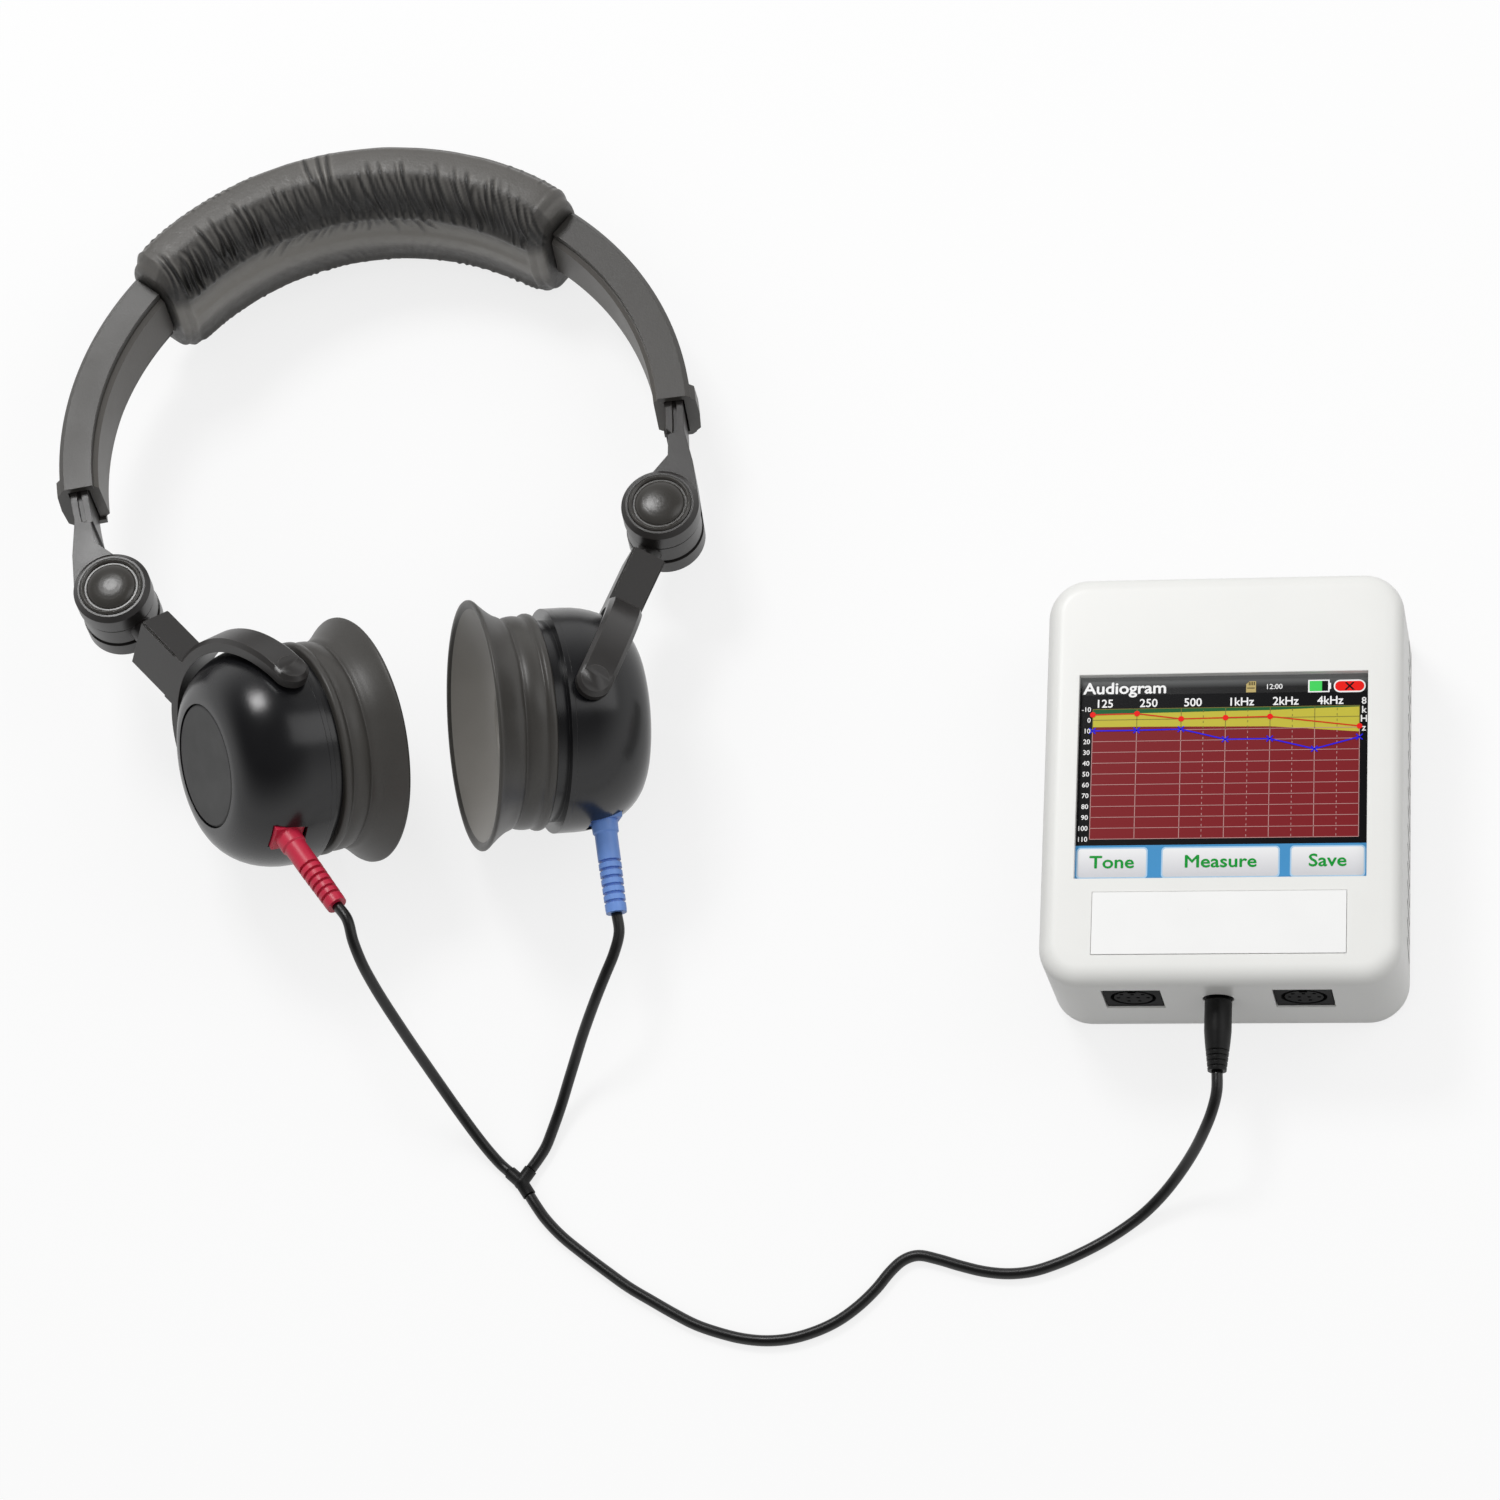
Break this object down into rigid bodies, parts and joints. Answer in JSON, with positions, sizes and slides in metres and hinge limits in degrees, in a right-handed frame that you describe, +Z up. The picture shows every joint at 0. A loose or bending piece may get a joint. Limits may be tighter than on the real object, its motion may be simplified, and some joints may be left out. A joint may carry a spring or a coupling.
{
  "type": "audiometer",
  "caption": "Hand-held screening audiometer: a white case with a touch screen, and a folding headset on a Y-shaped cord with a jack plug.",
  "frame": {"origin": "middle of the case's flat underside", "axes": "+Z up out of the screen, +Y from the sockets' wall towards the far wall, +X to the right as the screen is read"},
  "size_m": [0.3483, 0.3151, 0.071],
  "materials": {
    "case": "fine satin",
    "glass": "clear, glossy",
    "display": "lit picture",
    "label": "satin print",
    "board": "solder mask",
    "chips": "satin",
    "battery": "wrapped in film",
    "sockets": "satin",
    "metal": "bright",
    "plug": "satin",
    "cord": "smooth, dull",
    "pad": "wrinkled leatherette",
    "band": "fine grain",
    "liner": "satin",
    "hinge": "satin",
    "caps": "satin",
    "cup": "semi-gloss",
    "driver": "satin",
    "grille": "perforated",
    "cushion": "soft, satin",
    "red": "satin",
    "blue": "satin"
  },
  "bodies": {
    "unit": {"top_shell": "case", "base_cover": "case", "touch_glass": "glass", "display_module": "display", "label_plate": "label", "main_board": "board", "board_parts": "chips", "battery_pack": "battery", "din_sockets": "sockets", "jack_socket": "sockets", "usb_socket": "metal", "power_switch": "sockets", "case_screws": "metal", "board_screws": "metal"},
    "switch_knob": {"power_knob": "sockets"},
    "headband": {"plug_body": "plug", "plug_pin": "metal", "cord_main": "cord", "cord_split": "cord", "cord_red": "cord", "cord_blue": "cord", "band_spring": "metal", "band_rivets": "metal", "head_pad": "pad", "red_band_arm": "band", "red_band_liner": "liner", "blue_band_arm": "band", "blue_band_liner": "liner"},
    "red_arm": {"red_slider": "band", "red_hinge_pin": "metal", "red_hinge_caps": "caps"},
    "red_barrel": {"red_hinge_ring": "hinge"},
    "red_fork": {"red_yoke": "band", "red_pivot_pins": "metal"},
    "red_cup": {"red_cup_shell": "cup", "red_cup_cap": "caps", "red_baffle": "cup", "red_driver": "driver", "red_grille": "grille", "red_ear_cushion": "cushion", "red_relief": "red"},
    "blue_arm": {"blue_slider": "band", "blue_hinge_pin": "metal", "blue_hinge_caps": "caps"},
    "blue_barrel": {"blue_hinge_ring": "hinge"},
    "blue_fork": {"blue_yoke": "band", "blue_pivot_pins": "metal"},
    "blue_cup": {"blue_cup_shell": "cup", "blue_cup_cap": "caps", "blue_baffle": "cup", "blue_driver": "driver", "blue_grille": "grille", "blue_ear_cushion": "cushion", "blue_relief": "blue"}
  },
  "joints": [
    {"name": "power_slide", "type": "slide", "parent": "unit", "child": "switch_knob", "axis": [1, 0, 0], "range_m": [0, 0.004]},
    {"name": "plug_pull", "type": "slide", "parent": "unit", "child": "headband", "axis": [0, -1, 0], "range_m": [0, 0.016]},
    {"name": "red_size_slide", "type": "hinge", "parent": "headband", "child": "red_arm", "pos_m": [-0.22139, 0.09447, 0.02909], "axis": [0.0865, 0.1047, 0.9907], "range_deg": [-5, 9], "deforming": ["cord_red"]},
    {"name": "red_fold", "type": "hinge", "parent": "red_arm", "child": "red_barrel", "pos_m": [-0.28453, 0.04933, 0.03937], "axis": [-0.0865, -0.1047, -0.9907], "range_deg": [-3, 43], "deforming": ["cord_red"]},
    {"name": "red_swivel", "type": "hinge", "parent": "red_barrel", "child": "red_fork", "pos_m": [-0.27162, 0.03678, 0.03957], "axis": [-0.7169, 0.6971, -0.011], "range_deg": [-70, 35], "deforming": ["cord_red"]},
    {"name": "red_tilt", "type": "hinge", "parent": "red_fork", "child": "red_cup", "pos_m": [-0.24115, 0.00716, 0.04004], "axis": [-0.3891, -0.4133, -0.8233], "range_deg": [-29, 16], "deforming": ["cord_red"]},
    {"name": "blue_size_slide", "type": "hinge", "parent": "headband", "child": "blue_arm", "pos_m": [-0.22139, 0.09447, 0.02909], "axis": [-0.0865, -0.1047, -0.9907], "range_deg": [-5, 9], "deforming": ["cord_blue"]},
    {"name": "blue_fold", "type": "hinge", "parent": "blue_arm", "child": "blue_barrel", "pos_m": [-0.14567, 0.07507, 0.02453], "axis": [0.0865, 0.1047, 0.9907], "range_deg": [-5, 38], "deforming": ["cord_blue"]},
    {"name": "blue_swivel", "type": "hinge", "parent": "blue_barrel", "child": "blue_fork", "pos_m": [-0.15147, 0.05818, 0.02682], "axis": [-0.3223, -0.938, 0.1272], "range_deg": [-30, 60], "deforming": ["cord_blue"]},
    {"name": "blue_tilt", "type": "hinge", "parent": "blue_fork", "child": "blue_cup", "pos_m": [-0.16517, 0.01832, 0.03223], "axis": [0.4022, -0.014, 0.9154], "range_deg": [-43, 2], "deforming": ["cord_blue"]}
  ]
}
